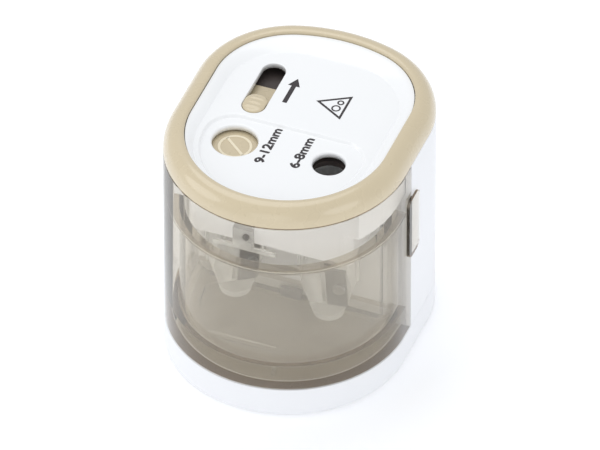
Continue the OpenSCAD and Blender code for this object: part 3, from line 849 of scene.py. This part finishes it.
class SHARPENER_OT_shells(bpy.types.Operator):
    """Makes the white base and the rear shell, with rounded edges and their screw columns"""

    bl_idname = "sharpener.shells"
    bl_label = "White shells"

    def execute(self, context):
        s = sizes()
        white = moulded_abs("Moulded ABS", colours().white, 0.3)
        outer, inner = s.bezel_w, s.bezel_w - s.wall
        deck = high("partition")[2]
        wall = fillet(
            [(outer, BASE_TOP, 0.25), (outer, BEZEL_Z, 0.25), (inner, BEZEL_Z, 0.2), (inner, BASE_TOP, 0.2)], 4
        )
        parts = [sweep(rear_outline(SEAM), wall, closed=False)]
        half = BODY_W / 2
        columns = {
            (27.4, 1.1): (half - 1, 1.1),
            (-27.4, 1.1): (1 - half, 1.1),
            (0, 34.2): (0, BODY_D / 2 - 1.2),
        }
        for middle, end in columns.items():
            middle, end = np.array(middle), np.array(end)
            bore = circle(middle, 1.1)
            parts += slab(at(bore, 1.7), [at(bore, 0)], BASE_TOP, deck)
            along = (end - middle) / np.hypot(*(end - middle))
            across = np.array([-along[1], along[0]])
            near = middle + along * 2.5
            rib = np.array([near - across, end - across, end + across, near + across])
            parts += slab(rib, [], BASE_TOP, deck)
        piece("rear_casing", parts, "housing", white, ["rear_shell"])
        self.base(white)
        return {"FINISHED"}

    def base(self, white):
        s = sizes()
        outer, inner = s.bezel_w, s.bezel_w - s.wall
        bottom = low("base_tray")[2]
        wall = fillet([(outer, bottom, 0.25), (outer, BASE_TOP, 0.35), (inner, BASE_TOP, 0), (inner, bottom, 0)], 4)
        skirt = at(opening(), inner + 0.2)
        door_y = low("battery_door")[1] - 0.3
        bay = at(rear_outline(door_y), 2.9)
        deck = front_outline(0.3)
        recess = round_box(-24.5, -17, 24.5, -2.5, 5)
        parts = [
            sweep(opening(), wall),
            *slab(skirt, [bay], bottom + 0.01, bottom + s.wall),
            *slab(at(deck, inner + 0.2), [recess], BASE_TOP - 1, BASE_TOP - 0.01),
            *slab(at(deck, inner + 0.2), [], BASE_TOP - s.wall, BASE_TOP - 1),
        ]
        piece("base", parts, "housing", white, ["base_tray"])


class SHARPENER_OT_drawer(bpy.types.Operator):
    """Makes the smoke-tinted drawer front and the tub inside it"""

    bl_idname = "sharpener.drawer"
    bl_label = "Drawer"

    def execute(self, context):
        s = sizes()
        y = high("drawer")[1]
        outer, inner = s.bezel_w, s.bezel_w - s.drawer_wall
        tub = inner - s.ledge_w
        foot = 16.0
        wall = fillet(
            [
                (outer, DRAWER_Z, 0.5),
                (outer, DRAWER_TOP, 0.3),
                (inner, DRAWER_TOP, 0.2),
                (inner, foot, 0.4),
                (tub + 1.6, foot, 0.3),
                (tub + 1.6, DRAWER_Z, 0.3),
            ]
        )
        path = front_outline(y)
        piece(
            "drawer_front",
            [sweep(path, wall, closed=False)],
            "drawer",
            smoke_polycarbonate(),
            ["drawer"],
        )
        floor_top = DRAWER_Z + 1.8
        cove = 4.0
        shell = fillet(
            [
                (inner, LEDGE_Z, 0.3),
                (tub, LEDGE_Z, 0.5),
                (tub, floor_top, cove - 0.5),
                (tub - cove - 0.3, floor_top, 0),
                (tub - cove - 0.3, DRAWER_Z, 0),
                (tub + 1.5, DRAWER_Z, 0.4),
                (tub + 1.5, LEDGE_Z - 1, 0.3),
                (inner, LEDGE_Z - 1, 0.3),
            ],
            8,
        )
        floor_edge = at(path, tub - cove - 0.3)
        parts = [
            sweep(path, shell, closed=False),
            *slab(floor_edge, [], DRAWER_Z, floor_top),
        ]
        piece("tub", parts, "drawer", smoke_styrene(), ["shavings_tub"])
        return {"FINISHED"}


class SHARPENER_OT_shutter(bpy.types.Operator):
    """Makes the domed knob and the raised mark on the shutter"""

    bl_idname = "sharpener.shutter"
    bl_label = "Shutter"

    def execute(self, context):
        s = sizes()
        lo, hi = low("shutter_knob"), high("shutter_knob")
        x = (lo[0] + hi[0]) / 2
        mid = (lo[1] + hi[1]) / 2
        edge = at(slot_outline(x, lo[1], hi[1], hi[0] - lo[0]), 0)
        centre = np.array([x, mid])
        rings = [(edge, PLATE_TOP), (edge, s.floor_z - 0.05)]
        # The top is a low dome: height is the square root of 1 - t squared, with t 1 at the edge and 0 in the middle.
        for t in np.linspace(1, 0.02, 16):
            rings.append((centre + (edge - centre) * (0.04 + 0.96 * t), s.floor_z + 0.6 * math.sqrt(1 - t * t)))
        pts, faces = loft(rings)
        faces.append(list(range(len(pts) - len(edge), len(pts))))
        faces.append(list(range(len(edge))))
        # Three ridges 1.8 mm apart cross the top: a cosine that fades towards the sides and ends.
        away = pts[:, :2] - centre
        fade = np.clip(1 - np.abs(away[:, 0]) / 2.6, 0, 1) ** 0.5 * (np.abs(away[:, 1]) < 2.7)
        ridge = 0.16 * fade * np.clip(np.cos(2 * math.pi * away[:, 1] / 1.8), -0.4, 1)
        pts[:, 2] += np.where(pts[:, 2] > s.floor_z + 0.1, ridge, 0)
        piece("knob", [(pts, faces)], "shutter", pearl_abs(), ["shutter_knob"], sharp=50)
        centre = LARGE_HOLE[:2]
        thick = 0.1
        ring = circle(centre, 4.3)
        parts = slab(at(ring, 0.35), [at(ring, -0.35)], PLATE_TOP, PLATE_TOP + thick)
        slash = math.radians(-40)
        along = np.array([math.cos(slash), math.sin(slash)])
        across = np.array([-along[1], along[0]]) * 0.75 / 2
        ends = [centre - along * 4.1, centre + along * 4.1]
        bar = np.array([ends[0] - across, ends[1] - across, ends[1] + across, ends[0] + across])
        parts += slab(bar, [], PLATE_TOP, PLATE_TOP + thick)
        light = moulded_abs("Light beige ABS", linear("#F1E6CB"), 0.3, 0.6)
        piece("shutter_mark", parts, "shutter", light)
        return {"FINISHED"}


class SHARPENER_OT_finishes(bpy.types.Operator):
    """Gives every CAD node that still shows its real material, and makes the gear cover dark as painted shade inside
    the pencil holes and slot
    """

    bl_idname = "sharpener.finishes"
    bl_label = "Finishes"

    def execute(self, context):
        white = moulded_abs("Moulded ABS", colours().white, 0.3)
        black = moulded_abs("Black ABS", linear("#232325"), 0.45)
        # The gear cover is made dark so that the pencil holes and the slot look deep: painted shade.
        hole_shade_dark = moulded_abs("Dark ABS painted as hole shade", linear("#4B4340"), 0.5)
        steel = metal("Ground steel", linear("#B4B5B8"), 0.25, 0.4, (1, 1, 0.08))
        blade = metal("Hardened blade steel", linear("#77787C"), 0.28, 0.3, (0.1, 0.1, 1))
        zinc = metal("Zinc-plated steel", linear("#BFC1C2"), 0.3, 0.8)
        brass = metal("Turned brass", linear("#C9A75A"), 0.28, 0.4)
        nickel = metal("Nickel-plated spring steel", linear("#C6C4BE"), 0.22, 0.6)
        ferrite = moulded_abs("Sintered ferrite", linear("#38363A"), 0.7, 0.3)
        chosen = {
            white: ["battery_door", "partition", "gear_housing", "cutter_hood"],
            black: ["reed_switch", "catch_screw"],
            hole_shade_dark: ["gear_cover"],
            rubber(): ["rubber_feet", "door_feet"],
            steel: ["motor_shaft", "compound_axle", "idler_axle"],
            blade: ["large_blade", "small_blade"],
            zinc: [
                "base_screws",
                "housing_screws",
                "cover_screws",
                "motor_screws",
                "large_blade_screw",
                "small_blade_screw",
                "motor_can",
            ],
            brass: ["motor_pinion", "motor_terminals", "start_contacts"],
            nickel: ["door_contacts", "top_contacts"],
            ferrite: ["motor_magnets", "drawer_magnet"],
            winding(): ["motor_armature"],
            cell_film(): ["battery_cells"],
            acetal(): ["compound_gear", "idler_gear", "large_carrier_gear", "small_carrier_gear", "motor_end_cap"],
            clear_styrene(): ["large_carrier", "small_carrier", "drawer_catch"],
            smoke_styrene(): ["rear_gate"],
            grip_polycarbonate(): ["drawer_grips"],
            pearl_abs(): ["shutter_plate"],
        }
        for material, names in chosen.items():
            for name in names:
                for slot in NODES[name].material_slots:
                    slot.material = material
        return {"FINISHED"}


class SHARPENER_PT_panel(bpy.types.Panel):
    """Lists the steps in the sidebar"""

    bl_idname = "SHARPENER_PT_panel"
    bl_label = "Sharpener"
    bl_space_type = "VIEW_3D"
    bl_region_type = "UI"
    bl_category = "Sharpener"

    def draw(self, context):
        for step in STEPS:
            self.layout.operator(step.bl_idname)


STEPS = (
    SHARPENER_OT_stage,
    SHARPENER_OT_bezel,
    SHARPENER_OT_panel,
    SHARPENER_OT_shells,
    SHARPENER_OT_drawer,
    SHARPENER_OT_shutter,
    SHARPENER_OT_finishes,
)
CLASSES = (SharpenerSizes, SharpenerColours, *STEPS, SHARPENER_PT_panel)


def register():
    for cls in CLASSES:
        bpy.utils.register_class(cls)
    bpy.types.Scene.sharpener_sizes = PointerProperty(type=SharpenerSizes)
    bpy.types.Scene.sharpener_colours = PointerProperty(type=SharpenerColours)


def unregister():
    del bpy.types.Scene.sharpener_sizes
    del bpy.types.Scene.sharpener_colours
    for cls in reversed(CLASSES):
        bpy.utils.unregister_class(cls)


def main():
    register()
    bpy.ops.sharpener.stage()
    bpy.ops.sharpener.bezel()
    bpy.ops.sharpener.panel()
    bpy.ops.sharpener.shells()
    bpy.ops.sharpener.drawer()
    bpy.ops.sharpener.shutter()
    bpy.ops.sharpener.finishes()


if __name__ == "__main__":
    main()
